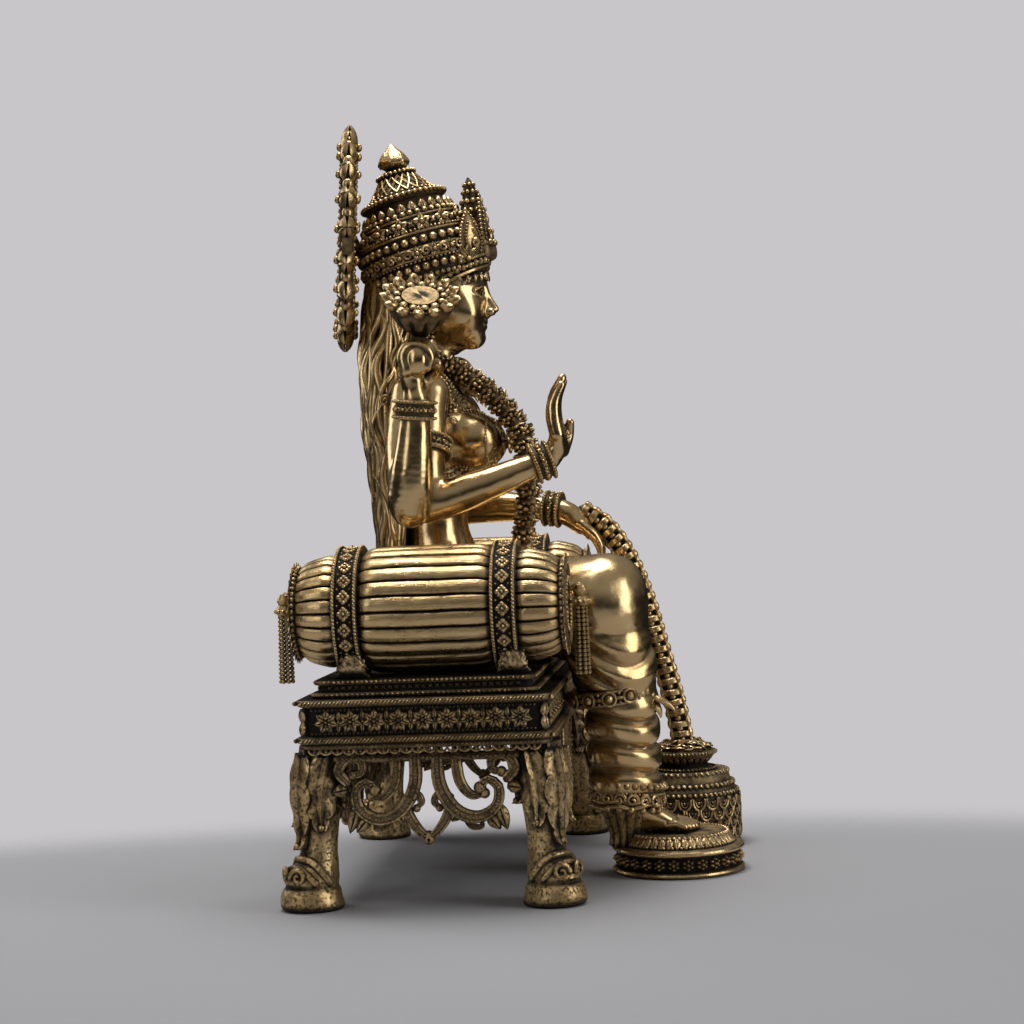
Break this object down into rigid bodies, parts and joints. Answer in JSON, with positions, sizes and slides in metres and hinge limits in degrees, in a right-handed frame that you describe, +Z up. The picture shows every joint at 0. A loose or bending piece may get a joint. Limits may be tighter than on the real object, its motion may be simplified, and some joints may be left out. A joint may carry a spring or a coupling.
{
  "type": "seated goddess statue",
  "caption": "Cast brass goddess seated between bolsters on a scroll-legged throne, a foot on a round footrest and coins pouring into a pot; it stands on a flat surface.",
  "frame": {"origin": "on the floor, at the centre of the footprint", "axes": "+Z up; the figure faces -Y; her right-hand side is at -X"},
  "size_m": [0.0892, 0.0796, 0.14],
  "materials": {
    "figure_brass": "polished, with dark patina in the folds",
    "ornament_brass": "antiqued, polished on the high points",
    "throne_brass": "antiqued cast surface",
    "bolster_brass": "antiqued, ribbed",
    "fixing": "dull"
  },
  "bodies": {
    "root": {"anklet": "ornament_brass", "apron_back": "throne_brass", "apron_front": "throne_brass", "apron_left": "throne_brass", "apron_right": "throne_brass", "arm_back_left": "figure_brass", "arm_back_right": "figure_brass", "arm_front_left": "figure_brass", "arm_front_right": "figure_brass", "armlets": "ornament_brass", "bangles": "ornament_brass", "bolster_bands_left": "bolster_brass", "bolster_bands_right": "bolster_brass", "bolster_caps_left": "bolster_brass", "bolster_caps_right": "bolster_brass", "bolster_left": "bolster_brass", "bolster_right": "bolster_brass", "brazing_tabs_left": "bolster_brass", "brazing_tabs_right": "bolster_brass", "coin_heap": "ornament_brass", "coin_stream": "ornament_brass", "crown": "ornament_brass", "crown_crest": "ornament_brass", "crown_finial": "ornament_brass", "ear_flowers": "ornament_brass", "figure_nut": "fixing", "figure_stud": "fixing", "foot_folded": "figure_brass", "foot_pendant": "figure_brass", "footrest_drum": "throne_brass", "footrest_lotus": "throne_brass", "garland": "ornament_brass", "hair": "ornament_brass", "halo_bracket": "ornament_brass", "halo_disc": "ornament_brass", "halo_leaves": "ornament_brass", "head": "figure_brass", "heel_block": "throne_brass", "knee_band": "ornament_brass", "lap_sash": "ornament_brass", "leg_folded": "figure_brass", "leg_pendant": "figure_brass", "lotus_left": "ornament_brass", "lotus_right": "ornament_brass", "necklace": "ornament_brass", "pot_body": "ornament_brass", "pot_neck": "ornament_brass", "seat_frieze": "throne_brass", "seat_fringe": "throne_brass", "seat_slab": "throne_brass", "tassels_left": "bolster_brass", "tassels_right": "bolster_brass", "throne_leg_back_left": "throne_brass", "throne_leg_back_right": "throne_brass", "throne_leg_front_left": "throne_brass", "throne_leg_front_right": "throne_brass", "torso": "figure_brass", "waist_belt": "ornament_brass"}
  },
  "joints": []
}
